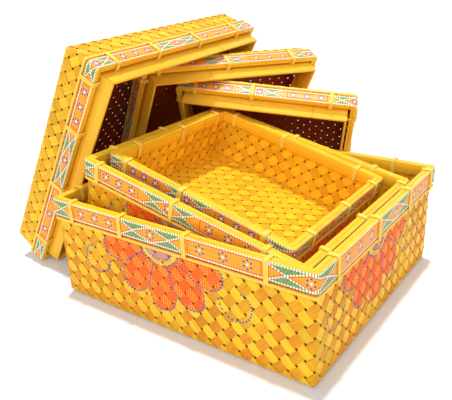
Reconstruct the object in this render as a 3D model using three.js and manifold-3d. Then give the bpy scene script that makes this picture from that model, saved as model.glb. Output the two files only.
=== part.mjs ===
// Nested set of three plaited bamboo boxes and their three lids, in millimetres, +Z up.
// The boxes stand one inside the other, the two inner ones tipped, and the lids stand behind them on edge.
// The origin is the middle of the large box's floor, on the surface it stands on.
// +X runs along the large box's front, +Y to its back.

import * as THREE from 'three';
import { mergeVertices } from 'three/addons/utils/BufferGeometryUtils.js';
import Module from 'manifold-3d';

const wasm = await Module();
wasm.setup();

const degree = Math.PI / 180;

// Large box
const largeLength = 300;
const largeWidth = 269;
const largeHeight = 109.5;
const largeBandHeight = 17.7;

// Medium box: how much smaller it is than the opening it nests in, and its own height
const mediumLengthPlay = 31;
const mediumWidthPlay = 25;
const mediumHeight = 102;
const mediumBandHeight = 16;

// Small box
const smallLengthPlay = 17;
const smallWidthPlay = 13;
const smallHeight = 61;
const smallBandHeight = 12.6;

// Rim layers from the outside in: painted band, woven wall, plain slat, held by ties
const bandThickness = 3;
const wallThickness = 2;
const slatThickness = 2.4;
const slatHeight = 12.6;
const cordDiameter = 2.7;
const tieWidth = 5.7;
const tieThickness = 1.2;
const tieBend = 0.8;
const tieGrip = 0.4;
const layerGap = 0.3;
const rimCorner = 9;
const bandEdge = 0.7;
const wallTopSetback = 0.4;

// Woven bottoms and lid panels turn into their walls with this radius
const boxEdgeRadius = 9;
const lidEdgeRadius = 7;

// Lids
const largeLidDepth = 48.3;
const mediumLidDepth = 32;
const smallLidDepth = 27;
const lidSlope = 2.5;
const lidBandHeight = 13.8;
const collarThickness = 2.4;
const collarProud = 14.4;
const collarTuck = 15.6;
const mitreGap = 0.25;

// How the inner boxes lie
const mediumTilt = 12.355 * degree;
const mediumRightGap = 6.3;
const mediumForward = 6;
const smallTilt = 2.15 * degree;
const smallLeftGap = 2.4;
const smallBackGap = 0.5;

// How the lids stand: turned about the vertical, leaning over towards the boxes, rolled in their own plane and
// lifted off the ground. A lid's foot is its rim's lower left corner. It stands this far along the lid and ahead of
// it: the small lid's from where its plane would meet the large box's back left corner, the others' from the foot
// of the next smaller lid.
const smallLidPose = { turn: 19.8, lean: 33.9, roll: -7.6, lift: 2.5, along: -42.6638826, ahead: 41.8325784 };
const mediumLidPose = { turn: 65.6, lean: 28.5, roll: -4.5, lift: 0.3, along: -125.4141924, ahead: 12.9644832 };
const largeLidPose = { turn: 94.2, lean: 29.3, roll: 0, lift: 0, along: -138.789593, ahead: 3.3835614 };

// Places of the ties, as shares of the sides from the left end and from the front end
const largeLongTies = [0.097, 0.317, 0.573, 0.85];
const largeShortTies = [0.126, 0.427, 0.707, 0.93];
const mediumLongTies = [0.08, 0.45, 0.84];
const mediumShortTies = [0.17, 0.5, 0.93];
const smallLongTies = [0.11, 0.43, 0.86];
const smallShortTies = [0.19, 0.55, 0.88];

// Smoothness of the corners and of the turned edges
const cornerSteps = 4;
const edgeSteps = 3;
const cordSides = 6;
const sharpestCorner = 1;
const weldDistance = 0.0001;

// Insets of the layers from the outer face of the band
const wallOutside = bandThickness + layerGap;
const wallInside = wallOutside + wallThickness;
const slatOutside = wallInside + layerGap;
const slatInside = slatOutside + slatThickness;
const tieReach = layerGap + tieThickness;
const rimDepth = slatInside + tieReach;
const rimFoot = slatHeight + tieReach + layerGap;
const collarOutside = rimDepth + layerGap;

// Sizes of the nested boxes, from the openings they go into
const mediumLength = largeLength - 2 * rimDepth - mediumLengthPlay;
const mediumWidth = largeWidth - 2 * rimDepth - mediumWidthPlay;
const smallLength = mediumLength - 2 * rimDepth - smallLengthPlay;
const smallWidth = mediumWidth - 2 * rimDepth - smallWidthPlay;

const paintedBamboo = { color: 0xf09a28, roughness: 0.35, metalness: 0 };
const plainBamboo = { color: 0xf0b030, roughness: 0.4, metalness: 0 };
const wovenBamboo = { color: 0xf0a020, roughness: 0.5, metalness: 0 };
const rattan = { color: 0xf5d060, roughness: 0.45, metalness: 0 };

function named(name, geometry, finish) {
  const mesh = new THREE.Mesh(geometry, new THREE.MeshStandardMaterial(finish));
  mesh.name = name;
  return mesh;
}

// A rectangle with round corners, inset from the rim's outer face, anticlockwise seen from above
function outline(size, inset, z) {
  const radius = Math.max(rimCorner - inset, sharpestCorner);
  const x = size.length / 2 - inset - radius;
  const y = size.width / 2 - inset - radius;
  const signs = [[1, 1], [-1, 1], [-1, -1], [1, -1]];
  const points = [];
  signs.forEach(([signX, signY], corner) => {
    for (let step = 0; step <= cornerSteps; step += 1) {
      const angle = (corner + step / cornerSteps) * 90 * degree;
      const acrossX = signX * x + radius * Math.cos(angle);
      const acrossY = signY * y + radius * Math.sin(angle);
      points.push([acrossX, acrossY, z]);
    }
  });
  return points;
}

// Skin over a row of outlines: closed round on itself as a ring, or capped at both ends as a vessel
function skin(rings, isRing) {
  const count = rings[0].length;
  const places = rings.flat(2);
  const faces = [];
  const last = isRing ? rings.length : rings.length - 1;
  for (let ring = 0; ring < last; ring += 1) {
    const lower = ring * count;
    const upper = ((ring + 1) % rings.length) * count;
    for (let step = 0; step < count; step += 1) {
      const next = (step + 1) % count;
      faces.push(lower + step, lower + next, upper + next);
      faces.push(lower + step, upper + next, upper + step);
    }
  }
  if (!isRing) {
    const underside = places.length / 3;
    const inside = underside + 1;
    const top = (rings.length - 1) * count;
    places.push(0, 0, rings[0][0][2], 0, 0, rings[rings.length - 1][0][2]);
    for (let step = 0; step < count; step += 1) {
      const next = (step + 1) % count;
      faces.push(underside, next, step);
      faces.push(inside, top + step, top + next);
    }
  }
  const geometry = new THREE.BufferGeometry();
  geometry.setAttribute('position', new THREE.Float32BufferAttribute(places, 3));
  geometry.setIndex(faces);
  geometry.computeVertexNormals();
  return geometry;
}

// Woven walls and floor: up the outside from the middle of the bottom, over the top and down the inside.
// Walls that slope are upright inside the rim and draw in below it.
function wovenVessel(size, depth, slope, edgeRadius) {
  const side = (inset, radius, floor) => {
    const rings = [];
    for (let step = 0; step <= edgeSteps; step += 1) {
      const turn = step / edgeSteps * 90 * degree;
      const z = floor + radius * (1 - Math.cos(turn));
      const drawnIn = slope * (rimFoot + z) / (rimFoot - depth);
      rings.push(outline(size, inset + drawnIn + radius * (1 - Math.sin(turn)), z));
    }
    if (slope > 0) {
      rings.push(outline(size, inset, -rimFoot));
    }
    rings.push(outline(size, inset, -wallTopSetback));
    return rings;
  };
  const outside = side(wallOutside, edgeRadius, -depth);
  const inside = side(wallInside, edgeRadius - wallThickness, wallThickness - depth);
  return skin([...outside, ...inside.reverse()], false);
}

// Painted band round the outside, its outer edges eased
function rimBand(size, height) {
  return skin([
    outline(size, bandEdge, -height),
    outline(size, 0, bandEdge - height),
    outline(size, 0, -bandEdge),
    outline(size, bandEdge, 0),
    outline(size, bandThickness, 0),
    outline(size, bandThickness, -height),
  ], true);
}

// Plain slat round the inside
function rimSlat(size) {
  return skin([
    outline(size, slatOutside, -slatHeight),
    outline(size, slatOutside, 0),
    outline(size, slatInside, 0),
    outline(size, slatInside, -slatHeight),
  ], true);
}

// A closed geometry as a solid that can be joined to others
function solidOf(geometry) {
  const bare = geometry.clone();
  bare.deleteAttribute('normal');
  bare.deleteAttribute('uv');
  const merged = mergeVertices(bare, weldDistance);
  return new wasm.Manifold(new wasm.Mesh({
    numProp: 3,
    vertProperties: merged.attributes.position.array,
    triVerts: new Uint32Array(merged.index.array),
  }));
}

function joined(geometries) {
  const mesh = wasm.Manifold.union(geometries.map(solidOf)).getMesh();
  const geometry = new THREE.BufferGeometry();
  geometry.setAttribute('position', new THREE.BufferAttribute(mesh.vertProperties, mesh.numProp));
  geometry.setIndex(new THREE.BufferAttribute(mesh.triVerts, 1));
  geometry.computeVertexNormals();
  return geometry;
}

// Thin cord under the band, against the weave
function rimCord(size, bandHeight) {
  const radius = cordDiameter / 2;
  const inset = wallOutside - layerGap - radius;
  const z = -bandHeight - layerGap - radius;
  const rings = [];
  for (let side = 0; side < cordSides; side += 1) {
    const angle = (side + 0.5) / cordSides * 360 * degree;
    rings.push(outline(size, inset - radius * Math.cos(angle), z + radius * Math.sin(angle)));
  }
  return skin(rings, true);
}

// One tie seen from its end: x inwards from the band's outer face, y upwards from the rim's top
function tieShape(bandHeight) {
  const outerFoot = -bandHeight - layerGap - cordDiameter + tieGrip;
  const innerFoot = -slatHeight - layerGap;
  const outerHook = wallOutside - layerGap;
  const innerHook = wallInside + layerGap;
  return new THREE.Shape([
    [outerHook, outerFoot - tieThickness],
    [tieBend - tieReach, outerFoot - tieThickness],
    [-tieReach, outerFoot - tieThickness + tieBend],
    [-tieReach, tieReach - tieBend],
    [tieBend - tieReach, tieReach],
    [rimDepth - tieBend, tieReach],
    [rimDepth, tieReach - tieBend],
    [rimDepth, innerFoot - tieThickness],
    [innerHook, innerFoot - tieThickness],
    [innerHook, innerFoot],
    [rimDepth - tieThickness, innerFoot],
    [rimDepth - tieThickness, layerGap],
    [-layerGap, layerGap],
    [-layerGap, outerFoot],
    [outerHook, outerFoot],
  ].map(([x, y]) => new THREE.Vector2(x, y)));
}

// The rattan binding: the cord under the band, and the ties that it makes over the rim
function rimBinding(size) {
  const settings = { depth: tieWidth, bevelEnabled: false };
  const upright = new THREE.Matrix4().makeBasis(
    new THREE.Vector3(0, 1, 0),
    new THREE.Vector3(0, 0, 1),
    new THREE.Vector3(1, 0, 0),
  );
  const strands = [rimCord(size, size.bandHeight)];
  for (let side = 0; side < 4; side += 1) {
    const isLong = side % 2 === 0;
    const along = isLong ? size.length : size.width;
    const across = isLong ? size.width : size.length;
    const onward = side < 2 ? 1 : -1;
    (isLong ? size.longTies : size.shortTies).forEach((share) => {
      const tie = new THREE.ExtrudeGeometry(tieShape(size.bandHeight), settings);
      tie.applyMatrix4(upright);
      tie.translate((share - 0.5) * along * onward - tieWidth / 2, -across / 2, 0);
      tie.rotateZ(side * 90 * degree);
      strands.push(tie);
    });
  }
  return joined(strands);
}

// One board of a lid's collar, its ends cut at 45 degrees
function collarBoard(along, across) {
  const end = along / 2 - collarOutside - mitreGap;
  const outer = across / 2 - collarOutside;
  const shape = new THREE.Shape([
    new THREE.Vector2(-end, -outer),
    new THREE.Vector2(end, -outer),
    new THREE.Vector2(end - collarThickness, collarThickness - outer),
    new THREE.Vector2(collarThickness - end, collarThickness - outer),
  ]);
  const board = new THREE.ExtrudeGeometry(shape, { depth: collarProud + collarTuck, bevelEnabled: false });
  board.translate(0, 0, -collarTuck);
  return board;
}

function addRim(group, name, size) {
  group.add(named(`${name}_rim_band`, rimBand(size, size.bandHeight), paintedBamboo));
  group.add(named(`${name}_rim_slat`, rimSlat(size), plainBamboo));
  group.add(named(`${name}_rim_binding`, rimBinding(size), rattan));
}

// A box, its rim's top face at z = 0
function makeBox(name, size) {
  const box = new THREE.Group();
  box.add(named(`${name}_woven_shell`, wovenVessel(size, size.height, 0, boxEdgeRadius), wovenBamboo));
  addRim(box, name, size);
  return box;
}

// A lid lying on its panel, opening upwards, its rim's front face at z = 0
function makeLid(name, box) {
  const size = { ...box, bandHeight: lidBandHeight };
  const lid = new THREE.Group();
  const tray = wovenVessel(size, size.lidDepth, lidSlope, lidEdgeRadius);
  lid.add(named(`${name}_woven_tray`, tray, wovenBamboo));
  addRim(lid, name, size);
  ['bottom', 'right', 'top', 'left'].forEach((place, side) => {
    const isLong = side % 2 === 0;
    const board = isLong ? collarBoard(size.length, size.width) : collarBoard(size.width, size.length);
    board.rotateZ(side * 90 * degree);
    lid.add(named(`${name}_collar_${place}`, board, plainBamboo));
  });
  return lid;
}

// A point on the ground, so far along and ahead of another in a lid's own directions
function stepTo(from, turn, along, ahead) {
  return {
    x: from.x + along * Math.cos(turn) + ahead * Math.sin(turn),
    y: from.y + along * Math.sin(turn) - ahead * Math.cos(turn),
  };
}

// Stands a lid with its foot placed from another point, and gives the foot
function standLid(lid, size, pose, from) {
  const turn = pose.turn * degree;
  lid.rotation.set((90 + pose.lean) * degree, 0, turn, 'ZXY');
  lid.rotateZ(pose.roll * degree);
  const foot = stepTo(from, turn, pose.along, pose.ahead);
  const corner = new THREE.Vector3(-size.length / 2, -size.width / 2, 0).applyQuaternion(lid.quaternion);
  lid.position.set(foot.x - corner.x, foot.y - corner.y, 0);
  lid.position.z = pose.lift - new THREE.Box3().setFromObject(lid, true).min.z;
  return foot;
}

const large = {
  length: largeLength,
  width: largeWidth,
  height: largeHeight,
  lidDepth: largeLidDepth,
  bandHeight: largeBandHeight,
  longTies: largeLongTies,
  shortTies: largeShortTies,
};
const medium = {
  length: mediumLength,
  width: mediumWidth,
  height: mediumHeight,
  lidDepth: mediumLidDepth,
  bandHeight: mediumBandHeight,
  longTies: mediumLongTies,
  shortTies: mediumShortTies,
};
const small = {
  length: smallLength,
  width: smallWidth,
  height: smallHeight,
  lidDepth: smallLidDepth,
  bandHeight: smallBandHeight,
  longTies: smallLongTies,
  shortTies: smallShortTies,
};

const largeBox = makeBox('large_box', large);
largeBox.position.z = largeHeight;

// The medium box stands on the right-hand edge of its floor, inside the large box
const mediumEdgeX = mediumLength / 2 - wallOutside - boxEdgeRadius;
const mediumEdgeZ = mediumHeight - boxEdgeRadius;
const mediumBox = makeBox('medium_box', medium);
mediumBox.rotation.y = mediumTilt;
mediumBox.position.set(
  largeLength / 2 - rimDepth - mediumRightGap - (mediumLength / 2 + tieReach) * Math.cos(mediumTilt),
  -mediumForward,
  wallThickness + layerGap + boxEdgeRadius
    + mediumEdgeX * Math.sin(mediumTilt) + mediumEdgeZ * Math.cos(mediumTilt),
);

// The small box is pushed into the back left corner of the medium one, and tipped with it
const smallBox = makeBox('small_box', small);
smallBox.rotation.y = smallTilt;
smallBox.position.set(
  (smallLength - mediumLength) / 2 + rimDepth + smallLeftGap,
  (mediumWidth - smallWidth) / 2 - rimDepth - smallBackGap,
  0,
);
mediumBox.add(smallBox);

// The lids lean behind the boxes, each smaller one with its near side in the hollow of the next
const boxCorner = { x: -largeLength / 2, y: largeWidth / 2 };
const leanBack = largeHeight * Math.tan(smallLidPose.lean * degree);
const leanStart = stepTo(boxCorner, smallLidPose.turn * degree, 0, -leanBack);
const smallLid = makeLid('small_lid', small);
const smallFoot = standLid(smallLid, small, smallLidPose, leanStart);
const mediumLid = makeLid('medium_lid', medium);
const mediumFoot = standLid(mediumLid, medium, mediumLidPose, smallFoot);
const largeLid = makeLid('large_lid', large);
standLid(largeLid, large, largeLidPose, mediumFoot);

const group = new THREE.Group();
group.add(largeBox, mediumBox, largeLid, mediumLid, smallLid);

export default group;
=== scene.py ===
# %% [markdown]
# # Nested bamboo boxes with lids
# Three boxes plaited from flat bamboo strips stand one inside the other, and their three lids lean
# behind them. The CAD model gives every place and size. This lesson dresses it: real strips that pass
# over and under each other, painted rims, rattan ties and plain boards. Everything is in metres, with
# Z upwards.

import math

import bmesh
import bpy
import numpy
from mathutils import Matrix, Vector


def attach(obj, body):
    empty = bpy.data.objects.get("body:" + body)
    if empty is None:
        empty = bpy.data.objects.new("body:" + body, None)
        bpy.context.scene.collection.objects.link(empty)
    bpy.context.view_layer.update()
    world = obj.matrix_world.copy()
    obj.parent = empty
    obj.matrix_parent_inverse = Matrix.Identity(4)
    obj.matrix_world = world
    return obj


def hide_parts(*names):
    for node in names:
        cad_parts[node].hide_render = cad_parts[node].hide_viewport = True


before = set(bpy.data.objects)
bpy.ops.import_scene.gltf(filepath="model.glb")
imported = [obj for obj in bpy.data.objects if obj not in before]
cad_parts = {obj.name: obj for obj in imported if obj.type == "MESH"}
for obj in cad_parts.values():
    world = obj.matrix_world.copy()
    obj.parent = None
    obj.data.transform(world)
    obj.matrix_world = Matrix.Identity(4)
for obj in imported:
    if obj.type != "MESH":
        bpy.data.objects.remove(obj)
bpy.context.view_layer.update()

# %% [markdown]
# ## Sizes
# Each box and lid is described in its own place first: its rim's top face at height 0, its walls and
# floor below. The layers of a rim lie one inside the next, so each has its inset from the rim's outer
# face.

# %% Sizes shared by all rims
mm = 0.001
band_thickness = 3.9 * mm
wall_middle = 4.3 * mm
wall_thickness = 2 * mm
wall_top = -0.6 * mm
slat_outside = 4 * mm
slat_thickness = 4 * mm
slat_height = 12.6 * mm
lid_slat_thickness = 3 * mm
lid_slat_top = -0.5 * mm
rim_corner = 5.5 * mm
cord_diameter = 2.7 * mm
cord_gap = 0.3 * mm
rim_foot = 14.4 * mm
lid_band_height = 13.8 * mm
bottom_edge = 4 * mm
lid_slope = 2.5 * mm
print("Rim layers, mm:", band_thickness / mm, wall_middle / mm, slat_outside / mm)

# %% The three sizes of box, each with its lid
# Cells are counted along and across; ties and panels sit at these shares of the long and short sides.
large = {
    "length": 300 * mm,
    "width": 269 * mm,
    "height": 109.5 * mm,
    "band_height": 17.7 * mm,
    "lid_depth": 48.3 * mm,
    "cells": (18, 16),
    "long_ties": (0.097, 0.317, 0.573, 0.85),
    "short_ties": (0.126, 0.427, 0.707, 0.93),
    "long_panels": (0.097, 0.317, 0.573, 0.85),
    "short_panels": (0.126, 0.427, 0.707, 0.93),
}
medium = {
    "length": 250 * mm,
    "width": 225 * mm,
    "height": 102 * mm,
    "band_height": 16 * mm,
    "lid_depth": 32 * mm,
    "cells": (15, 13),
    "long_ties": (0.08, 0.45, 0.84),
    "short_ties": (0.17, 0.5, 0.93),
    "long_panels": (0.08, 0.31, 0.56, 0.84),
    "short_panels": (0.17, 0.42, 0.7, 0.93),
}
small = {
    "length": 214 * mm,
    "width": 193 * mm,
    "height": 61 * mm,
    "band_height": 12.6 * mm,
    "lid_depth": 27 * mm,
    "cells": (13, 12),
    "long_ties": (0.11, 0.43, 0.86),
    "short_ties": (0.19, 0.55, 0.88),
    "long_panels": (0.11, 0.34, 0.6, 0.86),
    "short_panels": (0.19, 0.42, 0.65, 0.88),
}
print("Outer lengths, mm:", [round(size["length"] / mm) for size in (large, medium, small)])


# %% Where each one stands
def stood_at(x, y, z, *turns):
    place = Matrix.Translation(Vector((x, y, z)) * mm)
    for angle, axis in turns:
        place = place @ Matrix.Rotation(math.radians(angle), 4, axis)
    return place


places = {
    "large_box": stood_at(0, 0, 109.5),
    "medium_box": stood_at(10.63, -6, 126.26, (12.355, "Y")),
    "small_box": stood_at(4.67, 0, 127.57, (14.505, "Y")),
    "large_lid": stood_at(-172.7, 46.6, 118.94, (94.2, "Z"), (119.3, "X")),
    "medium_lid": stood_at(-141.3, 131.7, 106.57, (65.6, "Z"), (118.5, "X"), (-4.5, "Z")),
    "small_lid": stood_at(-73.7, 147.4, 92.5, (19.8, "Z"), (123.9, "X"), (-7.6, "Z")),
}
sizes = {"large": large, "medium": medium, "small": small}
print("Bodies:", sorted(places))

# %% [markdown]
# ## Helpers for modelling
# An operator acts on whatever is selected, and the CAD nodes come in selected. So each helper first
# clears the selection. Faces, edges and points are then picked in code, by where they are.


# %% Selecting by place
def take(piece):
    bpy.ops.object.select_all(action="DESELECT")
    piece.select_set(True)
    bpy.context.view_layer.objects.active = piece


def edit(piece):
    take(piece)
    bpy.ops.object.mode_set(mode="EDIT")
    bpy.ops.mesh.select_all(action="DESELECT")


def pick(piece, kind, wanted):
    bpy.ops.mesh.select_mode(type={"verts": "VERT", "edges": "EDGE", "faces": "FACE"}[kind])
    bpy.ops.mesh.select_all(action="DESELECT")
    mesh = bmesh.from_edit_mesh(piece.data)
    picked = [item for item in getattr(mesh, kind) if wanted(item)]
    for item in picked:
        item.select_set(True)
    bmesh.update_edit_mesh(piece.data)
    return len(picked)


def leave_edit():
    bpy.ops.object.mode_set(mode="OBJECT")


def modify(piece, kind, **settings):
    take(piece)
    modifier = piece.modifiers.new(kind.title(), kind)
    for name, value in settings.items():
        setattr(modifier, name, value)
    bpy.ops.object.modifier_apply(modifier=modifier.name)


sharp_angle = 35


def shade(piece, angle=sharp_angle):
    take(piece)
    bpy.ops.object.shade_smooth_by_angle(angle=math.radians(angle))


def join(pieces):
    bpy.ops.object.select_all(action="DESELECT")
    for piece in pieces:
        piece.select_set(True)
    bpy.context.view_layer.objects.active = pieces[0]
    bpy.ops.object.join()
    return pieces[0]


def copy_of(piece):
    take(piece)
    bpy.ops.object.duplicate(linked=False)
    return bpy.context.object


print("Helpers ready; faces that meet at more than", sharp_angle, "degrees keep a sharp edge")


# %% Points and attributes as arrays
def points_of(mesh):
    found = numpy.empty(len(mesh.vertices) * 3)
    mesh.vertices.foreach_get("co", found)
    return found.reshape(-1, 3)


def move_points(mesh, points):
    mesh.vertices.foreach_set("co", points.ravel())
    mesh.update()


def write_vectors(mesh, name, values, domain="POINT"):
    attribute = mesh.attributes.get(name) or mesh.attributes.new(name, "FLOAT_VECTOR", domain)
    attribute.data.foreach_set("vector", numpy.asarray(values, dtype=numpy.float32).ravel())


def finish_piece(piece, name, body, slot, material, *nodes):
    piece.name = name
    piece.data.name = name
    piece.data.transform(places[body])
    piece.data.materials.clear()
    piece.data.materials.append(material)
    piece.data.update()
    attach(piece, body)
    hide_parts(*nodes)
    return piece


print("Array helpers ready")

# %% [markdown]
# ## Colours and nodes
# Colours are written as they look on a screen and turned to the linear values that light is reckoned
# in. Every material is drawn by nodes, so one small function adds a node, sets it up and joins it to
# others. Its inputs are given in their order, or by name where a node has many.


# %% Colour and node helpers
def colour(code):
    parts = [int(code[start : start + 2], 16) / 255 for start in (1, 3, 5)]
    linear = [part / 12.92 if part <= 0.04045 else ((part + 0.055) / 1.055) ** 2.4 for part in parts]
    return (*linear, 1)


def node(tree, kind, inputs, **settings):
    made = tree.nodes.new("ShaderNode" + kind)
    for name, value in settings.items():
        setattr(made, name, value)
    sockets = inputs.items() if isinstance(inputs, dict) else enumerate(inputs)
    for socket, value in sockets:
        if isinstance(value, bpy.types.NodeSocket):
            tree.links.new(value, made.inputs[socket])
        else:
            made.inputs[socket].default_value = value
    return made.outputs[0] if made.outputs else None


def reach_of(tree, x, y):
    square = node(tree, "Math", (x, x), operation="MULTIPLY")
    square = node(tree, "Math", (y, y, square), operation="MULTIPLY_ADD")
    return node(tree, "Math", (square,), operation="SQRT")


def attribute_parts(tree, name):
    vector = node(tree, "Attribute", (), attribute_name=name)
    return node(tree, "SeparateXYZ", (vector,)).node.outputs


print("Orange paint as linear light:", [round(part, 3) for part in colour("#FFB832")])


# %% Starting a material, and ending it with a varnish
fibre_relief = 0.3 * mm


def new_material(name):
    material = bpy.data.materials.new(name)
    material.use_nodes = True
    material.node_tree.nodes.clear()
    return material


def varnish(tree, base, gloss, fibre, strength, shine):
    relief = node(tree, "Bump", {"Strength": strength, "Distance": fibre_relief, "Height": fibre})
    sockets = {"Base Color": base, "Roughness": gloss, "Normal": relief, "Specular IOR Level": shine}
    node(tree, "OutputMaterial", {"Surface": node(tree, "BsdfPrincipled", sockets)})


print("Fibres stand up by at most", fibre_relief / mm, "mm in the light")

# %% [markdown]
# ## The woven bamboo
# Each box is plaited on the bias: its strips run at 45 degrees to the walls, over one and under one,
# and go from the floor up the walls without a break. One strip crossing is modelled once and
# repeated over a flat mat. The mat is then folded up as the weaver does it. The small square holes
# come by themselves, because the strips are narrower than their spacing. A plain wall with a drawn
# weave would be lighter, but it would look flat in the sun and show no light through its holes.

# %% One strip as it passes over a crossing
cell = 16.2 * mm
strip_spacing = cell / math.sqrt(2)
strip_width = 0.83 * strip_spacing
strip_thickness = 0.8 * mm
strip_rise = 0.45 * mm
shoulder_rise = 0.9
bpy.ops.object.select_all(action="DESELECT")
bpy.ops.mesh.primitive_cube_add(size=1)
strip = bpy.context.object
strip.scale = (strip_spacing, strip_width, strip_thickness)
bpy.ops.object.transform_apply(location=True, rotation=True, scale=True)
edit(strip)
pick(strip, "faces", lambda face: abs(face.normal.x) > 0.9)
bpy.ops.mesh.delete(type="FACE")
pick(strip, "edges", lambda edge: abs(edge.verts[0].co.x - edge.verts[1].co.x) > 0.5 * strip_spacing)
bpy.ops.mesh.subdivide(number_cuts=3)
pick(strip, "verts", lambda vert: abs(vert.co.x) < 0.1 * strip_spacing)
bpy.ops.transform.translate(value=(0, 0, strip_rise))
pick(strip, "verts", lambda vert: 0.1 * strip_spacing < abs(vert.co.x) < 0.4 * strip_spacing)
bpy.ops.transform.translate(value=(0, 0, shoulder_rise * strip_rise))
leave_edit()
print("One strip has", len(strip.data.polygons), "faces and is", round(strip_width / mm, 1), "mm wide")


# %% One cell of the mat: two crossings, the upper strip changing from one to the next
def laid_strip(turn, is_over, x, y):
    laid = copy_of(strip)
    points = points_of(laid.data)
    from_middle = abs(points[:, 0]) / strip_spacing
    rise = numpy.select([from_middle < 0.1, from_middle < 0.4], [1.0, shoulder_rise], 0.0)
    inner = (points[:, 2] > rise * strip_rise).astype(float)
    if not is_over:
        inner = 1 - inner
        laid.data.transform(Matrix.Rotation(math.pi, 4, "X"))
    family = numpy.full(len(inner), 0.0 if turn > 0 else 1.0)
    write_vectors(laid.data, "strip", numpy.stack([family, inner, 0 * inner], axis=1))
    laid.data.transform(Matrix.Translation((x, y, 0)) @ Matrix.Rotation(math.radians(turn), 4, "Z"))
    return laid


crossings = [
    laid_strip(45, True, 0, cell / 2),
    laid_strip(-45, False, 0, cell / 2),
    laid_strip(-45, True, cell / 2, 0),
    laid_strip(45, False, cell / 2, 0),
]
weave_cell = join(crossings)
print("A cell has", len(weave_cell.data.polygons), "faces")


# %% A flat mat, repeated from the cell and cut to size
touching = 0.02 * mm


def cut_away(point, outward):
    bpy.ops.mesh.select_all(action="SELECT")
    bpy.ops.mesh.bisect(plane_co=point, plane_no=outward, clear_outer=True)


def flat_mat(columns, rows, height):
    mat = copy_of(weave_cell)
    mat.data.transform(Matrix.Translation((-cell, -(rows + 1) * cell, 0)))
    for count, step in ((columns + 2, (cell, 0, 0)), (rows + 2, (0, cell, 0))):
        modify(
            mat,
            "ARRAY",
            count=count,
            use_relative_offset=False,
            use_constant_offset=True,
            constant_offset_displace=step,
        )
    edit(mat)
    bpy.ops.mesh.select_all(action="SELECT")
    bpy.ops.mesh.remove_doubles(threshold=touching)
    cut_away((0, 0, 0), (-1, 0, 0))
    cut_away((columns * cell, 0, 0), (1, 0, 0))
    cut_away((0, 0, 0), (0, 1, 0))
    cut_away((0, -height, 0), (0, -1, 0))
    leave_edit()
    return mat


print("A mat is built cell by cell, cells being", cell / mm, "mm square")

# %% [markdown]
# ## Folding a mat
# The wall mat goes once round the box and the floor mat closes it below. Both are first placed on a
# box with sharp edges, then every point is led round them: the bottom edge gets a radius of 4 mm and
# the upright corners about 1 mm, as under the rim. The strips keep their thickness because each point
# keeps its distance from the sheet. Bend modifiers turn a sheet one way only, so numbers do it here.


# %% Sheet to sharp box
def half_sides(size):
    return size["length"] / 2 - wall_middle, size["width"] / 2 - wall_middle


def on_wall_mat(points, size):
    long, wide = size["cells"]
    half_long, half_wide = half_sides(size)
    along = points[:, 0] / cell
    side_start = numpy.array([0, long, long + wide, 2 * long + wide])
    side = numpy.clip(numpy.searchsorted(side_start, along, side="right") - 1, 0, 3)
    cells = numpy.where(side % 2 == 0, long, wide)
    share = (along - side_start[side]) / cells * 2 - 1
    is_side = [side == 0, side == 1, side == 2, side == 3]
    x = numpy.select(is_side[:3], [share * half_long, half_long, -share * half_long], -half_long)
    y = numpy.select(is_side[:3], [-half_wide, share * half_wide, half_wide], -share * half_wide)
    out_x = 1.0 * is_side[1] - 1.0 * is_side[3]
    out_y = 1.0 * is_side[2] - 1.0 * is_side[0]
    return x, y, out_x, out_y, side, share


def on_floor_mat(points, size):
    long, wide = size["cells"]
    half_long, half_wide = half_sides(size)
    x = (points[:, 0] / (long * cell) * 2 - 1) * half_long
    y = (points[:, 1] / (wide * cell) * 2 + 1) * half_wide
    gap_x = half_long - abs(x)
    gap_y = half_wide - abs(y)
    inset = numpy.maximum(numpy.minimum(gap_x, gap_y), 0)
    out_x = numpy.where(gap_x < gap_y, numpy.sign(x), 0.0)
    out_y = numpy.where(gap_x < gap_y, 0.0, numpy.sign(y))
    return x, y, out_x, out_y, inset


print("Walls are counted front, right, back, left")


# %% Sharp box to round-edged box
hair = 1e-7


def rounded(x, y, out_x, out_y, climb, inset, lift, size, depth, slope):
    half_long, half_wide = half_sides(size)
    edge = bottom_edge
    run = numpy.clip(edge - inset, 0, edge)
    rise = numpy.clip(edge - climb, 0, edge)
    reach = numpy.hypot(run, rise)
    out = numpy.where(run > 0, run / reach, 0)
    down = numpy.where(rise > 0, rise / reach, 0)
    is_round = (climb < edge) & (inset < edge)
    new_inset = numpy.where(is_round, edge - edge * out, inset)
    new_climb = numpy.where(is_round, edge - edge * down, climb)
    out = numpy.where(is_round, out, (climb >= edge).astype(float))
    down = numpy.where(is_round, down, (inset >= edge).astype(float))
    x = x * (half_long - new_inset) / (half_long - inset)
    y = y * (half_wide - new_inset) / (half_wide - inset)
    radius = numpy.maximum(rim_corner - wall_middle - new_inset, 0)
    end_x = half_long - new_inset - radius
    end_y = half_wide - new_inset - radius
    core_x = numpy.clip(x, -end_x, end_x)
    core_y = numpy.clip(y, -end_y, end_y)
    away = numpy.hypot(x - core_x, y - core_y)
    is_corner = away > hair
    away = numpy.maximum(away, hair)
    out_x = numpy.where(is_corner, (x - core_x) / away, out_x)
    out_y = numpy.where(is_corner, (y - core_y) / away, out_y)
    x = numpy.where(is_corner, core_x + radius * out_x, x) - lift * out * out_x
    y = numpy.where(is_corner, core_y + radius * out_y, y) - lift * out * out_y
    z = new_climb + lift * down - (depth - wall_thickness / 2)
    drawn_in = slope * numpy.clip((-rim_foot - z) / (depth - rim_foot), 0, 1)
    return numpy.stack([x * (1 - drawn_in / half_long), y * (1 - drawn_in / half_wide), z], axis=1)


print("Radius of the upright corners, mm:", round((rim_corner - wall_middle) / mm, 1))


# %% A whole woven vessel
# The flower's middle lies a little below the rim, in millimetres on the large box, and to the left of
# the wall's middle, as a share of the long side.
flower_below_rim = 16
flower_shift = 0.04


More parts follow.
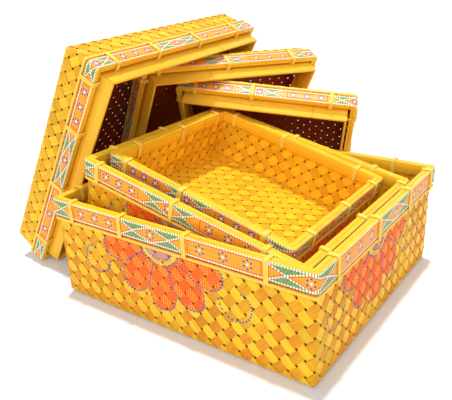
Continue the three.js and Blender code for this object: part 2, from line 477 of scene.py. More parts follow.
def write_mat(piece, points, motif_x, motif_z, strength):
    flat = 0 * motif_x
    write_vectors(piece.data, "mat", numpy.stack([points[:, 0] / mm, points[:, 1] / mm, flat], axis=1))
    write_vectors(piece.data, "motif", numpy.stack([motif_x, motif_z, strength + flat], axis=1))


def woven_vessel(size, depth, slope, wall_motif, floor_motif):
    long, wide = size["cells"]
    height = depth - wall_thickness / 2 + wall_top
    drawn_size = large["length"] / size["length"] / mm
    walls = flat_mat(2 * (long + wide), math.ceil(height / cell), height)
    points = points_of(walls.data)
    x, y, out_x, out_y, side, share = on_wall_mat(points, size)
    climb = -points[:, 1]
    half = numpy.where(side % 2 == 0, size["length"], size["width"]) / 2
    across = abs(share * half + flower_shift * size["length"]) * drawn_size
    write_mat(walls, points, across, (height - climb) * drawn_size - flower_below_rim, wall_motif)
    vessel = (size, depth, slope)
    move_points(walls.data, rounded(x, y, out_x, out_y, climb, 0 * x, points[:, 2], *vessel))
    floor = flat_mat(long, wide, wide * cell)
    points = points_of(floor.data)
    x, y, out_x, out_y, inset = on_floor_mat(points, size)
    write_mat(floor, points, abs(x) * drawn_size, abs(y) * drawn_size, floor_motif)
    move_points(floor.data, rounded(x, y, out_x, out_y, 0 * x, inset, points[:, 2], *vessel))
    join([walls, floor])
    edit(walls)
    bpy.ops.mesh.select_all(action="SELECT")
    bpy.ops.mesh.remove_doubles(threshold=1.5 * touching)
    top = wall_top - touching / 2
    pick(walls, "edges", lambda edge: edge.is_boundary and all(vert.co.z > top for vert in edge.verts))
    bpy.ops.mesh.fill_holes(sides=0)
    leave_edit()
    shade(walls)
    return walls


print("Ready to fold")

# %% [markdown]
# ## Bamboo strips, split, dyed yellow and varnished
# A bamboo strip shows long straight fibres, and each strip of a mat is a little lighter or darker
# than its neighbour. The strips that run one way have their glossy skin outwards, the others show the
# duller inner wood. The mat's own attributes say where a point is along and across its strip, so the
# fibres follow every strip round the edges.


# %% Along and across a strip
def strip_places(tree):
    mat = attribute_parts(tree, "mat")
    family, inner = attribute_parts(tree, "strip")[:2]
    way = node(tree, "Math", (family, -2.0, 1.0), operation="MULTIPLY_ADD")
    up = node(tree, "Math", (mat[1], way), operation="MULTIPLY")
    both = node(tree, "Math", (mat[0], up), operation="ADD")
    apart = node(tree, "Math", (mat[0], up), operation="SUBTRACT")
    across = node(tree, "Math", (apart, math.sqrt(2) * strip_spacing / mm), operation="DIVIDE")
    number = node(tree, "Math", (across,), operation="FLOOR")
    along = node(tree, "Math", (both, 1 / math.sqrt(2)), operation="MULTIPLY")
    return along, across, number, family, inner


print("Strips are counted every", round(strip_spacing / mm, 2), "mm")

# %% Fibres and the tint of each strip
# Real fibres lie about 0.3 mm apart, too fine to show here, so they are drawn 1 mm apart.
fibres_per_strip = 11.0


def strip_colour(tree, places_on_strip, contrasts):
    along, across, number, family, inner = places_on_strip
    key = node(tree, "CombineXYZ", (number, family, 3.0))
    tint = node(tree, "TexWhiteNoise", {"Vector": key}, noise_dimensions="3D")
    shift = node(tree, "Math", (tint, 60.0), operation="MULTIPLY")
    lengthwise = node(tree, "Math", (along, 0.016), operation="MULTIPLY")
    crosswise = node(tree, "Math", (across, fibres_per_strip), operation="MULTIPLY")
    place = node(tree, "CombineXYZ", (lengthwise, crosswise, shift))
    fibre = node(tree, "TexNoise", {"Vector": place, "Scale": 1.0, "Detail": 4.0, "Roughness": 0.6})
    contrast = node(tree, "MapRange", (fibre, 0.32, 0.68))
    skin = node(tree, "MixRGB", (contrast, colour("#FFDE30"), colour("#FFB41A")))
    wood = node(tree, "MixRGB", (contrast, colour("#F89C1C"), colour("#DC801A")))
    mat = node(tree, "Attribute", (), attribute_name="mat")
    patch = node(tree, "TexNoise", {"Vector": mat, "Scale": 0.016, "Detail": 1.0})
    patch = node(tree, "MapRange", (patch, 0.38, 0.6, 0.45, 1.0))
    share = node(tree, "MapRange", (inner, 0.0, 1.0, *contrasts))
    share = node(tree, "Math", (share, patch), operation="MULTIPLY")
    share = node(tree, "Math", (share, family), operation="MULTIPLY")
    strips = node(tree, "MixRGB", (share, skin, wood))
    speck = node(tree, "TexNoise", {"Vector": mat, "Scale": 0.55, "Detail": 3.0, "Roughness": 0.7})
    is_old = node(tree, "Math", (tint, 0.6), operation="GREATER_THAN")
    speck = node(tree, "MapRange", (speck, 0.5, 0.66, 0.0, 0.65))
    speck = node(tree, "Math", (speck, is_old), operation="MULTIPLY")
    speck = node(tree, "Math", (speck, share), operation="MULTIPLY")
    strips = node(tree, "MixRGB", (speck, strips, colour("#8A6A30")))
    strength = node(tree, "MapRange", (tint, 0.0, 1.0, 0.82, 1.08))
    return node(tree, "HueSaturation", {"Value": strength, "Color": strips}), fibre


print("The fibres of a strip are about", round(strip_spacing / mm / fibres_per_strip, 1), "mm apart")

# %% [markdown]
# ## The painted flowers
# Each wall has a big flower painted on it that hangs from the rim, and each lid has one on its panel.
# It is a plain rosette, drawn by a formula: the distance from the middle is set against an edge that
# swells and shrinks ten times round. Its outlines are rows of small blue dots. The paint lies over
# the strips, so the glossy ones still show yellow through it as a fine mesh. A picture could be laid
# on too, but a formula needs no file and stays sharp on every size of box.


# %% A row of dots along a line
def dots(tree, off, along, step, radius):
    part = node(tree, "Math", (along, step), operation="DIVIDE")
    part = node(tree, "Math", (part,), operation="FRACT")
    part = node(tree, "Math", (part, step, -0.5 * step), operation="MULTIPLY_ADD")
    return node(tree, "Math", (reach_of(tree, part, off), radius), operation="LESS_THAN")


print("A dot is where the way to the nearest mark on the line is short")

# %% Measures of the flower on the large box, in millimetres
heart_radius = 18.5
ring_radius = 25.0
petal_count = 10
petal_edge = 54.0
petal_swell = 22.0
petal_roundness = 0.6
edge_radius = 66.0
squash = 1.08
dot_step, dot_radius = 3.2, 1.0
hook_x, hook_y = 88.0, 36.0
hook_radius, hook_opening, hook_start = 14.0, 2.2, -1.3
# The bare specks in the petals are finer on the real box. They are drawn this coarse so that they show.
paint_mesh = 2.6
print("Rosette: heart", 2 * heart_radius, "across, its petals reaching", petal_edge + petal_swell)


# %% Its petals, ring and heart
def flower_colour(tree, under, family, reach, depth):
    mat = attribute_parts(tree, "mat")
    across = node(tree, "Math", (mat[0], paint_mesh), operation="DIVIDE")
    across = node(tree, "Math", (across,), operation="FRACT")
    upwards = node(tree, "Math", (mat[1], paint_mesh), operation="DIVIDE")
    upwards = node(tree, "Math", (upwards,), operation="FRACT")
    is_mesh = node(tree, "Math", (across, upwards), operation="MINIMUM")
    is_mesh = node(tree, "Math", (is_mesh, 0.5), operation="GREATER_THAN")
    bare = node(tree, "Math", (family, -0.5, 0.9), operation="MULTIPLY_ADD")
    bare = node(tree, "Math", (is_mesh, bare), operation="MULTIPLY")
    cover = node(tree, "Math", (bare, -1.0, 0.9), operation="MULTIPLY_ADD")
    petal = node(tree, "MixRGB", (cover, under, colour("#FB5A22")))
    ring = node(tree, "MixRGB", (0.4, under, colour("#FFD94A")))
    heart = node(tree, "MixRGB", (0.75, under, colour("#C8879A")))
    is_petal = node(tree, "Math", (depth, 0.0), operation="GREATER_THAN")
    is_ring = node(tree, "Math", (reach, ring_radius), operation="LESS_THAN")
    is_heart = node(tree, "Math", (reach, heart_radius), operation="LESS_THAN")
    paint = node(tree, "MixRGB", (is_petal, under, petal))
    paint = node(tree, "MixRGB", (is_ring, paint, ring))
    return node(tree, "MixRGB", (is_heart, paint, heart))


print("Bare specks break the petals' paint every", paint_mesh, "mm")


# %% The dotted arc beside it
def dotted_hook(tree, x, z):
    x = node(tree, "Math", (x, hook_x), operation="SUBTRACT")
    z = node(tree, "Math", (z, hook_y), operation="SUBTRACT")
    angle = node(tree, "Math", (z, x), operation="ARCTAN2")
    curl = node(tree, "Math", (angle, hook_opening, hook_radius), operation="MULTIPLY_ADD")
    off = node(tree, "Math", (reach_of(tree, x, z), curl), operation="SUBTRACT")
    along = node(tree, "Math", (angle, hook_radius), operation="MULTIPLY")
    is_curl = node(tree, "Math", (angle, hook_start), operation="GREATER_THAN")
    hook = dots(tree, off, along, dot_step, dot_radius)
    return node(tree, "Math", (hook, is_curl), operation="MULTIPLY")


print("The arc's middle lies", hook_x, "mm out from the rosette's and", hook_y, "mm below it")


# %% The flower over the strips
def painted_flower(tree, under, family, inner):
    x, z, strength = attribute_parts(tree, "motif")
    tall = node(tree, "Math", (z, squash), operation="MULTIPLY")
    reach = reach_of(tree, x, tall)
    angle = node(tree, "Math", (tall, x), operation="ARCTAN2")
    wave = node(tree, "Math", (angle, petal_count / 2), operation="MULTIPLY")
    wave = node(tree, "Math", (wave,), operation="SINE")
    wave = node(tree, "Math", (wave,), operation="ABSOLUTE")
    swell = node(tree, "Math", (wave, petal_roundness), operation="POWER")
    edge = node(tree, "Math", (swell, petal_swell, petal_edge), operation="MULTIPLY_ADD")
    depth = node(tree, "Math", (edge, reach), operation="SUBTRACT")
    paint = flower_colour(tree, under, family, reach, depth)
    round_edge = node(tree, "Math", (angle, edge_radius), operation="MULTIPLY")
    round_ring = node(tree, "Math", (angle, ring_radius), operation="MULTIPLY")
    from_ring = node(tree, "Math", (reach, ring_radius), operation="SUBTRACT")
    from_heart = node(tree, "Math", (reach, heart_radius), operation="SUBTRACT")
    seam = node(tree, "Math", (wave,), operation="ARCSINE")
    seam = node(tree, "Math", (seam, 2 / petal_count), operation="MULTIPLY")
    seam = node(tree, "Math", (seam, reach), operation="MULTIPLY")
    seams = dots(tree, seam, reach, dot_step, dot_radius)
    for room in (depth, from_ring):
        is_inside = node(tree, "Math", (room, 0.0), operation="GREATER_THAN")
        seams = node(tree, "Math", (seams, is_inside), operation="MULTIPLY")
    lines = dots(tree, depth, round_edge, dot_step, 1.15 * dot_radius)
    for more in (
        seams,
        dots(tree, from_ring, round_ring, dot_step, 1.1 * dot_radius),
        dots(tree, from_heart, round_ring, dot_step, dot_radius),
        dotted_hook(tree, x, z),
    ):
        lines = node(tree, "Math", (lines, more), operation="MAXIMUM")
    paint = node(tree, "MixRGB", (lines, paint, colour("#3F5FA8")))
    is_outside = node(tree, "Math", (inner, 0.5), operation="LESS_THAN")
    cover = node(tree, "Math", (is_outside, strength), operation="MULTIPLY")
    return node(tree, "MixRGB", (cover, under, paint))


print("The flower is painted on the outside only")


# %% The woven finish, with painted shade along the strips' edges and round the holes
def woven_bamboo(name, contrasts, inner_code, inner_share):
    material = new_material(name)
    tree = material.node_tree
    places_on_strip = strip_places(tree)
    along, across, number, family, inner = places_on_strip
    strips, fibre = strip_colour(tree, places_on_strip, contrasts)
    local = node(tree, "Math", (across, number), operation="SUBTRACT")
    local = node(tree, "Math", (local, 0.5), operation="SUBTRACT")
    local = node(tree, "Math", (local,), operation="ABSOLUTE")
    # Painted shade: the strips darken towards their long edges, where they pass under their neighbours.
    edge_shade = node(tree, "MapRange", (local, 0.36, 0.41, 0.0, 0.15))
    strips = node(tree, "MixRGB", (edge_shade, strips, colour("#A8600C")))
    # Painted shade: the strips are darkened round each hole, where the shade behind the weave shows
    # through.
    gap_across = node(tree, "Math", (0.5, local), operation="SUBTRACT")
    gap_along = node(tree, "Math", (along, mm / strip_spacing), operation="MULTIPLY")
    gap_along = node(tree, "Math", (gap_along, 1.0), operation="PINGPONG")
    gap_along = node(tree, "Math", (gap_along, 0.5), operation="PINGPONG")
    gap = reach_of(tree, gap_across, gap_along)
    hole_shade = node(tree, "MapRange", (gap, 0.1, 0.145, 0.8, 0.0))
    strips = node(tree, "MixRGB", (hole_shade, strips, colour("#4A1C08")))
    # The inner faces are mixed towards the inner colour: a paler wood tint on the boxes, painted shade
    # on the lids.
    tinted = node(tree, "Math", (inner, inner_share), operation="MULTIPLY")
    strips = node(tree, "MixRGB", (tinted, strips, colour(inner_code)))
    painted = painted_flower(tree, strips, family, inner)
    gloss = node(tree, "Math", (family, 0.14, 0.36), operation="MULTIPLY_ADD")
    gloss = node(tree, "Math", (fibre, 0.12, gloss), operation="MULTIPLY_ADD")
    varnish(tree, painted, gloss, fibre, 0.5, 0.2)
    return material


# Split bamboo: dyed yellow and varnished outside, its skin shiny and its inner wood dull. The lids'
# insides are coloured dark red-brown, painted shade for the shade inside a lid.
box_weave = woven_bamboo("split bamboo, dyed yellow and plaited", (0.9, 0.6), "#FFC81E", 0.1)
lid_weave = woven_bamboo("split bamboo of the lids, plaited", (0.5, 0.5), "#8A1E0C", 0.93)
print("Woven finishes:", box_weave.name, "and", lid_weave.name)

# %% [markdown]
# ## Folding all six vessels
# Each one is made in its own place and then set where the CAD body stands. It stands for the CAD node
# of the same name, which stays for collision. It stands for the CAD node of the same name, which is
# hidden but stays in the scene.

# %% Weave the boxes and the lids
for name, size in sizes.items():
    shell = woven_vessel(size, size["height"], 0, 1, 0)
    node_name = name + "_box_woven_shell"
    finish_piece(shell, node_name + "_strips", name + "_box", "woven_bamboo", box_weave, node_name)
    tray = woven_vessel(size, size["lid_depth"], lid_slope, 0, 1)
    node_name = name + "_lid_woven_tray"
    finish_piece(tray, node_name + "_strips", name + "_lid", "woven_bamboo", lid_weave, node_name)
    print(name, "box and lid:", len(shell.data.polygons), "and", len(tray.data.polygons), "faces")
for spare in (strip, weave_cell):
    bpy.data.objects.remove(spare)

# %% [markdown]
# ## The rims
# Three layers make a rim: the painted band outside, the woven wall in the middle and a plain slat
# inside. A slat starts as a box without top and bottom, and then it gets its thickness. The upright
# edges of the band are bevelled first, to the bend that thick bamboo takes. The inner slat meets in
# sharp mitres. A profile swept along a curve would do as well, but a box keeps the outer size exact.


# %% A slat round a rim
def ease_edges(piece, width, angle):
    limit = math.radians(angle)
    modify(piece, "BEVEL", width=width, segments=2, limit_method="ANGLE", angle_limit=limit)


def bent_slat(size, inset, thickness, top, height, ease):
    bpy.ops.object.select_all(action="DESELECT")
    bpy.ops.mesh.primitive_cube_add(size=1)
    slat = bpy.context.object
    slat.scale = (size["length"] - 2 * inset, size["width"] - 2 * inset, height)
    slat.location = (0, 0, top - height / 2)
    bpy.ops.object.transform_apply(location=True, rotation=True, scale=True)
    edit(slat)
    pick(slat, "faces", lambda face: abs(face.normal.z) > 0.9)
    bpy.ops.mesh.delete(type="FACE")
    bend = rim_corner - inset
    if bend > thickness:
        pick(slat, "edges", lambda edge: abs(edge.verts[0].co.z - edge.verts[1].co.z) > 0.5 * height)
        bpy.ops.mesh.bevel(offset=bend, segments=6, affect="EDGES")
    leave_edit()
    modify(slat, "SOLIDIFY", thickness=thickness, offset=-1, use_even_offset=True)
    ease_edges(slat, ease, 50)
    shade(slat)
    return slat


print("The band is bent to a radius of", rim_corner / mm, "mm; the inner slat is mitred")


# %% How far round the rim a point is
def way_round(points, size):
    long, wide = size["length"], size["width"]
    core_x = numpy.clip(points[:, 0], rim_corner - long / 2, long / 2 - rim_corner)
    core_y = numpy.clip(points[:, 1], rim_corner - wide / 2, wide / 2 - rim_corner)
    out_x = points[:, 0] - core_x
    out_y = points[:, 1] - core_y
    bend = 4 * rim_corner / math.pi
    front = long / 2 + core_x + bend * numpy.arctan2(out_x, -out_y)
    right = long + wide / 2 + core_y + bend * numpy.arctan2(out_y, out_x)
    behind = long + wide + long / 2 - core_x + bend * numpy.arctan2(-out_x, out_y)
    left = 2 * long + wide + wide / 2 - core_y + bend * numpy.arctan2(-out_y, -out_x)
    is_front = (out_y < -hair) & (out_x >= -hair)
    is_right = (out_x > hair) & (out_y >= -hair)
    is_behind = (out_y > hair) & (out_x <= hair)
    return numpy.select([is_front, is_right, is_behind], [front, right, behind], left)


def write_grain(piece, along, across, number):
    grain = numpy.stack([along / mm, across / mm, number + 0 * along], axis=1)
    write_vectors(piece.data, "grain", grain)


print("The way round the large rim is", round(2 * (large["length"] + large["width"]) / mm), "mm")

# %% [markdown]
# ## Plain bamboo and rattan
# Planed bamboo has straight, closely set fibres, and a thin dark line where the stem had a joint.
# Rattan is paler. Both materials read the same attribute, which says how far along and across the
# piece a point is, so the fibres run round the corners.


# %% A finish with long fibres
joint_every = 265.0


def long_fibres(name, light, dark, roughness, fineness):
    material = new_material(name)
    tree = material.node_tree
    along, across, number = attribute_parts(tree, "grain")
    lengthwise = node(tree, "Math", (along, 0.012), operation="MULTIPLY")
    crosswise = node(tree, "Math", (across, fineness), operation="MULTIPLY")
    shift = node(tree, "Math", (number, 17.3), operation="MULTIPLY")
    place = node(tree, "CombineXYZ", (lengthwise, crosswise, shift))
    fibre = node(tree, "TexNoise", {"Vector": place, "Scale": 1.0, "Detail": 5.0, "Roughness": 0.65})
    contrast = node(tree, "MapRange", (fibre, 0.3, 0.7))
    wood = node(tree, "MixRGB", (contrast, colour(light), colour(dark)))
    stem = node(tree, "Math", (along, 1 / joint_every, 0.37), operation="MULTIPLY_ADD")
    stem = node(tree, "Math", (stem, shift), operation="ADD")
    stem = node(tree, "Math", (stem,), operation="FRACT")
    joint = node(tree, "MapRange", (stem, 0.0, 0.008, 0.5, 0.0))
    wood = node(tree, "MixRGB", (joint, wood, colour("#8A4A10")))
    gloss = node(tree, "Math", (fibre, 0.2, roughness), operation="MULTIPLY_ADD")
    varnish(tree, wood, gloss, fibre, 0.5, 0.25)
    return material


# Planed bamboo under varnish: straight fibres and a satin shine. Rattan: finer and paler. The last
# number says how many fibres lie in a millimetre. Real ones are finer, and would not show here.
plain_slat = long_fibres("bamboo slat, planed and varnished", "#FFDC38", "#FFAE1E", 0.3, 0.9)
collar_board = long_fibres("bamboo board, planed and varnished", "#FFDC44", "#FFAC20", 0.32, 0.7)
rattan = long_fibres("split rattan, natural", "#FFE468", "#FFC840", 0.32, 1.6)
print("Finishes with long fibres:", plain_slat.name, collar_board.name, rattan.name, sep="\n- ")

# %% [markdown]
# ## The painted band
# Between its ties the band is painted in turn with a row of little flowers on an orange field and
# with a lozenge between green triangles. White dots run along the edges, and red lines inside them.
# Such borders are common on painted baskets, and here they are drawn from the distance to each
# panel's middle, in millimetres. Cut into the faces, they would take thousands of small ones.

# %% Orange ground with its grain, and the measures of a panel
# Planed bamboo under oil paint and varnish: opaque colours with a little of the fibres' relief.
white_paint = colour("#FFFBE8")
red_paint = colour("#F0481C")
white_step, white_radius = 2.7, 0.95
painted_band = new_material("bamboo slat, painted and varnished")
tree = painted_band.node_tree
panel_x, panel_z, panel_half = attribute_parts(tree, "panel")
is_lozenge_panel, band_half, is_outer = attribute_parts(tree, "paint")
far_x = node(tree, "Math", (panel_x,), operation="ABSOLUTE")
far_z = node(tree, "Math", (panel_z,), operation="ABSOLUTE")
lengthwise = node(tree, "Math", (panel_x, 0.014), operation="MULTIPLY")
place = node(tree, "CombineXYZ", (lengthwise, panel_z, panel_half))
band_fibre = node(tree, "TexNoise", {"Vector": place, "Scale": 1.1, "Detail": 4.0, "Roughness": 0.6})
contrast = node(tree, "MapRange", (band_fibre, 0.3, 0.7))
ground = node(tree, "MixRGB", (contrast, colour("#FFB832"), colour("#F89E28")))
bare = node(tree, "MixRGB", (contrast, colour("#FFDC38"), colour("#FFAE1E")))
print("Band nodes so far:", len(tree.nodes))

# %% Lozenge and triangles
line_crossing = 0.56
plain_edge = 1.7
field_half = node(tree, "Math", (band_half, plain_edge), operation="SUBTRACT")
share_x = node(tree, "Math", (far_x, panel_half), operation="DIVIDE")
share_z = node(tree, "Math", (far_z, field_half), operation="DIVIDE")
from_crossing = node(tree, "Math", (share_x, line_crossing), operation="SUBTRACT")
inward = node(tree, "Math", (from_crossing, -1 / line_crossing), operation="MULTIPLY")
outward = node(tree, "Math", (from_crossing, 1 / (1 - line_crossing)), operation="MULTIPLY")
slant = node(tree, "Math", (inward, outward), operation="MAXIMUM")
above = node(tree, "Math", (share_z, slant), operation="SUBTRACT")
above = node(tree, "Math", (above, field_half), operation="MULTIPLY")
is_green = node(tree, "Math", (above, 0.0), operation="GREATER_THAN")
print("The slanting lines cross at", line_crossing, "of a panel's half length")

# %% [markdown]
# Dots in a field come from two sets of slanting lines: where both are at their middle, there is a
# dot. Dots along a slanting line are counted off by the distance along the band.

# %% Green fields with their dots
speck_step, speck_reach = 2.9, 1.9
red_inset, red_half_width, white_outset = 0.9, 0.42, 0.3
leaning = node(tree, "Math", (panel_x, panel_z), operation="ADD")
falling = node(tree, "Math", (panel_x, panel_z), operation="SUBTRACT")
leaning = node(tree, "Math", (leaning, speck_step), operation="PINGPONG")
falling = node(tree, "Math", (falling, speck_step), operation="PINGPONG")
is_speck = node(tree, "Math", (leaning, falling), operation="ADD")
is_speck = node(tree, "Math", (is_speck, speck_reach), operation="LESS_THAN")
green = node(tree, "MixRGB", (is_speck, colour("#93A052"), colour("#1E9E84")))
lozenges = node(tree, "MixRGB", (is_green, ground, green))
red_far = node(tree, "Math", (above, red_inset), operation="ADD")
red_far = node(tree, "Math", (red_far,), operation="ABSOLUTE")
is_red = node(tree, "Math", (red_far, red_half_width), operation="LESS_THAN")
lozenges = node(tree, "MixRGB", (is_red, lozenges, red_paint))
white_far = node(tree, "Math", (above, white_outset), operation="SUBTRACT")
is_white = dots(tree, white_far, panel_x, white_step, white_radius)
lozenges = node(tree, "MixRGB", (is_white, lozenges, white_paint))
print("Band nodes so far:", len(tree.nodes))

# %% Flower panels with a red border
end_gap, border_inset, border_half_width, white_inset = 2.2, 2.5, 0.4, 1.1
from_edge = node(tree, "Math", (band_half, far_z), operation="SUBTRACT")
from_end = node(tree, "Math", (panel_half, far_x), operation="SUBTRACT")
end_room = node(tree, "Math", (from_end, end_gap), operation="SUBTRACT")
border = node(tree, "Math", (from_edge, end_room), operation="MINIMUM")
border = node(tree, "Math", (border, border_inset), operation="SUBTRACT")
border = node(tree, "Math", (border,), operation="ABSOLUTE")
is_border = node(tree, "Math", (border, border_half_width), operation="LESS_THAN")
flowers = node(tree, "MixRGB", (is_border, ground, red_paint))
bands = node(tree, "MixRGB", (is_lozenge_panel, flowers, lozenges))
white_far = node(tree, "Math", (from_edge, white_inset), operation="SUBTRACT")
is_white = dots(tree, white_far, panel_x, white_step, white_radius)
bands = node(tree, "MixRGB", (is_white, bands, white_paint))
print("Band nodes so far:", len(tree.nodes))

# %% The little flowers: a white middle in a ring of six blue dots
spacing_share, ring_share = 0.58, 0.46
blue_radius, middle_radius = 1.05, 1.25
spacing = node(tree, "Math", (panel_half, spacing_share), operation="MULTIPLY")
most = node(tree, "Math", (1.0, is_lozenge_panel), operation="SUBTRACT")
least = node(tree, "Math", (most, -1.0), operation="MULTIPLY")
nearby = node(tree, "Math", (panel_x, spacing), operation="DIVIDE")
nearby = node(tree, "Math", (nearby,), operation="ROUND")
nearby = node(tree, "Math", (nearby, most), operation="MINIMUM")
nearby = node(tree, "Math", (nearby, least), operation="MAXIMUM")
middle = node(tree, "Math", (nearby, spacing), operation="MULTIPLY")
flower_x = node(tree, "Math", (panel_x, middle), operation="SUBTRACT")
reach = reach_of(tree, flower_x, panel_z)
angle = node(tree, "Math", (panel_z, flower_x), operation="ARCTAN2")
ring = node(tree, "Math", (band_half, ring_share), operation="MULTIPLY")
turn = node(tree, "Math", (angle, ring), operation="MULTIPLY")
sixth = node(tree, "Math", (ring, math.pi / 3), operation="MULTIPLY")
part = node(tree, "Math", (turn, sixth), operation="DIVIDE")
part = node(tree, "Math", (part,), operation="FRACT")
part = node(tree, "Math", (part, 0.5), operation="SUBTRACT")
part = node(tree, "Math", (part, sixth), operation="MULTIPLY")
off_ring = node(tree, "Math", (reach, ring), operation="SUBTRACT")
is_blue = node(tree, "Math", (reach_of(tree, part, off_ring), blue_radius), operation="LESS_THAN")
bands = node(tree, "MixRGB", (is_blue, bands, colour("#3A5FB0")))
is_middle = node(tree, "Math", (reach, middle_radius), operation="LESS_THAN")
bands = node(tree, "MixRGB", (is_middle, bands, white_paint))
bands = node(tree, "MixRGB", (is_outer, bare, bands))
band_gloss = node(tree, "Math", (band_fibre, 0.2, 0.25), operation="MULTIPLY_ADD")
varnish(tree, bands, band_gloss, band_fibre, 0.4, 0.25)
print("The painted band has", len(tree.nodes), "nodes")


# %% Panels of a band
def mark_panels(band, size, height):
    long, wide = size["length"], size["width"]
    cuts = [Vector(((share - 0.5) * long, 0, 0)) for share in size["long_panels"]]
    cuts += [Vector((0, (share - 0.5) * wide, 0)) for share in size["short_panels"]]
    edit(band)
    for point in cuts:
        bpy.ops.mesh.select_all(action="SELECT")
        bpy.ops.mesh.bisect(plane_co=point, plane_no=point.normalized())
    leave_edit()
    around = 2 * (long + wide)
    starts = [share * long for share in size["long_panels"]]
    starts += [long + share * wide for share in size["short_panels"]]
    starts += [long + wide + (1 - share) * long for share in reversed(size["long_panels"])]
    starts += [2 * long + wide + (1 - share) * wide for share in reversed(size["short_panels"])]
    ends = starts[1:] + [starts[0] + around]
    mesh = band.data
    rim_place = way_round(points_of(mesh), size)
    panels = numpy.zeros((len(mesh.loops), 3))
    paints = numpy.zeros((len(mesh.loops), 3))
    for face in mesh.polygons:
        centre = way_round(numpy.array([face.center]), size)[0]
        if centre < starts[0]:
            centre += around
        index = int(numpy.searchsorted(starts, centre, side="right")) - 1
        middle = (starts[index] + ends[index]) / 2
        half = (ends[index] - starts[index]) / 2
        outward = face.normal.x * face.center.x + face.normal.y * face.center.y
        is_outer = outward > 0 and abs(face.normal.z) < 0.6
        for loop in face.loop_indices:
            vert = mesh.loops[loop].vertex_index
            offset = (rim_place[vert] - middle + around / 2) % around - around / 2
            panels[loop] = (offset, mesh.vertices[vert].co.z + height / 2, half)
            paints[loop] = (index % 2, height / 2 / mm, float(is_outer))
    write_vectors(mesh, "panel", panels / mm, "CORNER")
    write_vectors(mesh, "paint", paints, "CORNER")


print("Panels alternate: flowers, lozenge, flowers, lozenge round each corner")

# %% [markdown]
# ## The rattan binding
# A round cord of rattan runs under the band. At each tie the cane goes twice over the rim, from under
# the cord, over the band and the slat and back through the weave. One loop is drawn out of a circle
# of points, made wide and thick, and copied to every tie. A curve with a flat profile can twist where
# it turns, and faces drawn out sideways can't.

# %% One loop of cane over the rim
cane_half_width = 0.9 * mm
cane_thickness = 0.8 * mm
cane_crown = (1, 1.11, 1.06)


def cane_loop(band_height):
    foot = -band_height / mm - 2.9
    way_inwards_and_up = [
        (-0.3, foot + 1),
        (-0.3, -1.0),
        (0.1, 0.1),
        (1.0, 0.35),
        (7.2, 0.35),
        (8.1, 0.1),
        (8.45, -0.8),
        (8.45, -11.8),
        (8.1, -13.1),
        (6.6, -14.0),
        (5.6, foot + 0.6),
        (4.4, foot),
        (0.6, foot),
        (-0.1, foot + 0.3),
    ]
    bpy.ops.object.select_all(action="DESELECT")
    bpy.ops.mesh.primitive_circle_add(vertices=len(way_inwards_and_up), radius=1, fill_type="NOTHING")
    loop = bpy.context.object
    points = [(-cane_half_width, y * mm, z * mm) for y, z in way_inwards_and_up]
    move_points(loop.data, numpy.array(points))
    edit(loop)
    for edge_x in (-cane_half_width, 0):
        pick(loop, "edges", lambda edge: all(vert.co.x > edge_x - 0.01 * mm for vert in edge.verts))
        bpy.ops.mesh.extrude_region_move(TRANSFORM_OT_translate={"value": (cane_half_width, 0, 0)})
    pick(loop, "verts", lambda vert: abs(vert.co.x) < 0.5 * cane_half_width)
    middle = (0, 4.07 * mm, foot * mm / 2)
    bpy.ops.transform.resize(value=cane_crown, center_override=middle)
    bpy.ops.mesh.select_all(action="SELECT")
    bpy.ops.mesh.normals_make_consistent(inside=False)
    leave_edit()
    modify(loop, "SOLIDIFY", thickness=cane_thickness, offset=1, use_even_offset=True)
    shade(loop, 65)
    return loop


print("A loop is", 2 * cane_half_width / mm, "mm wide, and two lie side by side at each tie")

# %% Cord and loops of a rim
cord_sag = 2.6 * mm
sag_length = 26 * mm
strand_offset = 1.05 * mm


def laid_cord(size, band_height):
    top = -band_height - cord_gap
    cord = bent_slat(size, cord_gap, cord_diameter, top, cord_diameter, cord_diameter / 3)
    points = points_of(cord.data)
    around = way_round(points, size)
    write_grain(cord, around, points[:, 2], 0)
    long, wide = size["length"], size["width"]
    for corner in (0, long, long + wide, 2 * long + wide, 2 * (long + wide)):
        near = numpy.clip(1 - abs(around - corner) / sag_length, 0, 1)
        points[:, 2] -= cord_sag * near * near * (3 - 2 * near)
    move_points(cord.data, points)
    return cord


def rim_binding(size, band_height):
    made = [laid_cord(size, band_height)]
    loop = cane_loop(band_height)
    long, wide = size["length"], size["width"]
    sides = [(0, long, wide, 1), (90, wide, long, 1), (180, long, wide, -1), (270, wide, long, -1)]
    for turn, along, across, onward in sides:
        for share in size["long_ties" if turn % 180 == 0 else "short_ties"]:
            for strand in (-strand_offset, strand_offset):
                tie = copy_of(loop)
                points = points_of(tie.data)
                write_grain(tie, points[:, 1] + points[:, 2], points[:, 0], len(made))
                move = Matrix.Translation(((share - 0.5) * along * onward + strand, -across / 2, 0))
                tie.data.transform(Matrix.Rotation(math.radians(turn), 4, "Z") @ move)
                made.append(tie)
    bpy.data.objects.remove(loop)
    return join(made)


print("The cord is", cord_diameter / mm, "mm thick and sags by", cord_sag / mm, "mm at the corners")

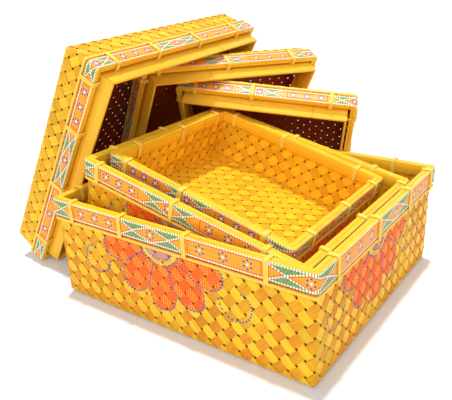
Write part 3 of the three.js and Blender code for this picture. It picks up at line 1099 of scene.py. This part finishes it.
# %% Rims of the three boxes and the three lids
for body in places:
    size = sizes[body.split("_")[0]]
    is_box = body.endswith("box")
    height = size["band_height"] if is_box else lid_band_height
    band = bent_slat(size, 0, band_thickness, 0, height, 0.6 * mm)
    mark_panels(band, size, height)
    name = body + "_rim_band"
    finish_piece(band, name + "_painted", body, "painted_bamboo", painted_band, name)
    thickness, top = (slat_thickness, 0) if is_box else (lid_slat_thickness, lid_slat_top)
    slat = bent_slat(size, slat_outside, thickness, top, slat_height + top, 0.4 * mm)
    points = points_of(slat.data)
    write_grain(slat, way_round(points, size), points[:, 2], size["length"] / mm)
    name = body + "_rim_slat"
    finish_piece(slat, name + "_planed", body, "plain_bamboo", plain_slat, name)
    binding = rim_binding(size, height)
    name = body + "_rim_binding"
    finish_piece(binding, name + "_cane", body, "rattan", rattan, name)
    print(body, "rim faces:", [len(piece.data.polygons) for piece in (band, slat, binding)])

# %% [markdown]
# ## The collars of the lids
# Four plain boards stand out of each lid and slip inside the rim of its box. Their ends are cut at 45
# degrees. The CAD boards have the right shape, so each is copied, its points are merged, and its
# edges are eased a little, as sandpaper leaves them.

# %% Ease and finish the boards
for name in sizes:
    body = name + "_lid"
    to_lid = places[body].inverted()
    for number, side in enumerate(("bottom", "right", "top", "left")):
        node_name = body + "_collar_" + side
        board = copy_of(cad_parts[node_name])
        board.data.transform(to_lid)
        edit(board)
        bpy.ops.mesh.select_all(action="SELECT")
        bpy.ops.mesh.remove_doubles(threshold=touching / 2)
        bpy.ops.mesh.tris_convert_to_quads()
        leave_edit()
        ease_edges(board, 0.4 * mm, 30)
        points = points_of(board.data)
        write_grain(board, points[:, number % 2], points[:, 2], number + 0.31 * len(name))
        shade(board)
        finish_piece(board, node_name + "_board", body, "plain_bamboo", collar_board, node_name)
    print(body, "has four boards")

# %% [markdown]
# ## Light, floor and camera
# The object stands on a white floor. A high sun throws the shadow and a wide one in front fills it.
# What the camera sees straight on is plain white, while the rest of the scene gets only half of that
# light.

# %% Floor and world
bpy.ops.object.select_all(action="DESELECT")
bpy.ops.mesh.primitive_plane_add(size=24)
floor = bpy.context.object
floor.name = "studio_floor"


def is_seen(tree):
    path = node(tree, "LightPath", ()).node.outputs
    seen = node(tree, "Math", (path["Is Camera Ray"], path["Is Glossy Ray"]), operation="MAXIMUM")
    return node(tree, "Math", (seen, path["Is Transmission Ray"]), operation="MAXIMUM")


# Matt white board: it takes the shadow and has no shine.
floor_material = new_material("matt white studio floor")
tree = floor_material.node_tree
glow = node(tree, "Math", (is_seen(tree), 0.04), operation="MULTIPLY")
white = node(tree, "BsdfDiffuse", {"Color": (0.8, 0.8, 0.8, 1)})
fill = node(tree, "Emission", {"Color": (1, 1, 1, 1), "Strength": glow})
node(tree, "OutputMaterial", {"Surface": node(tree, "AddShader", (white, fill))})
floor.data.materials.append(floor_material)

world = bpy.data.worlds.new("white studio")
bpy.context.scene.world = world
world.use_nodes = True
tree = world.node_tree
tree.nodes.clear()
strength = node(tree, "MapRange", (is_seen(tree), 0.0, 1.0, 0.5, 1.0))
background = node(tree, "Background", {"Color": (1, 1, 1, 1), "Strength": strength})
node(tree, "OutputWorld", {"Surface": background})
print("Floor and world:", floor_material.name, "and", world.name)


# %% Lamps and camera
def add_sun(name, energy, width, tilt):
    bpy.ops.object.light_add(type="SUN", rotation=[math.radians(part) for part in tilt])
    lamp = bpy.context.object
    lamp.name = name
    lamp.data.energy = energy
    lamp.data.angle = math.radians(width)


add_sun("light from above", energy=2.2, width=3, tilt=(-4, -4, 0))
add_sun("fill from the front", energy=1.15, width=50, tilt=(52, 0, 25))
eye = Vector((0.322433, -0.473285, 0.330932))
right = Vector((0.81241504, 0.58117586, -0.04707889))
up = Vector((-0.19112665, 0.34171157, 0.9201651))
back = right.cross(up)
bpy.ops.object.camera_add(location=eye)
camera = bpy.context.object
camera.matrix_world = Matrix.Translation(eye) @ Matrix((right, up, back)).transposed().to_4x4()
camera.data.lens = 47.27
camera.data.sensor_width = 36
camera.data.clip_start = 0.01
bpy.context.scene.camera = camera
bpy.context.scene.view_settings.view_transform = "Standard"
print("Camera at", [round(part, 3) for part in eye], "with a lens of", camera.data.lens, "mm")
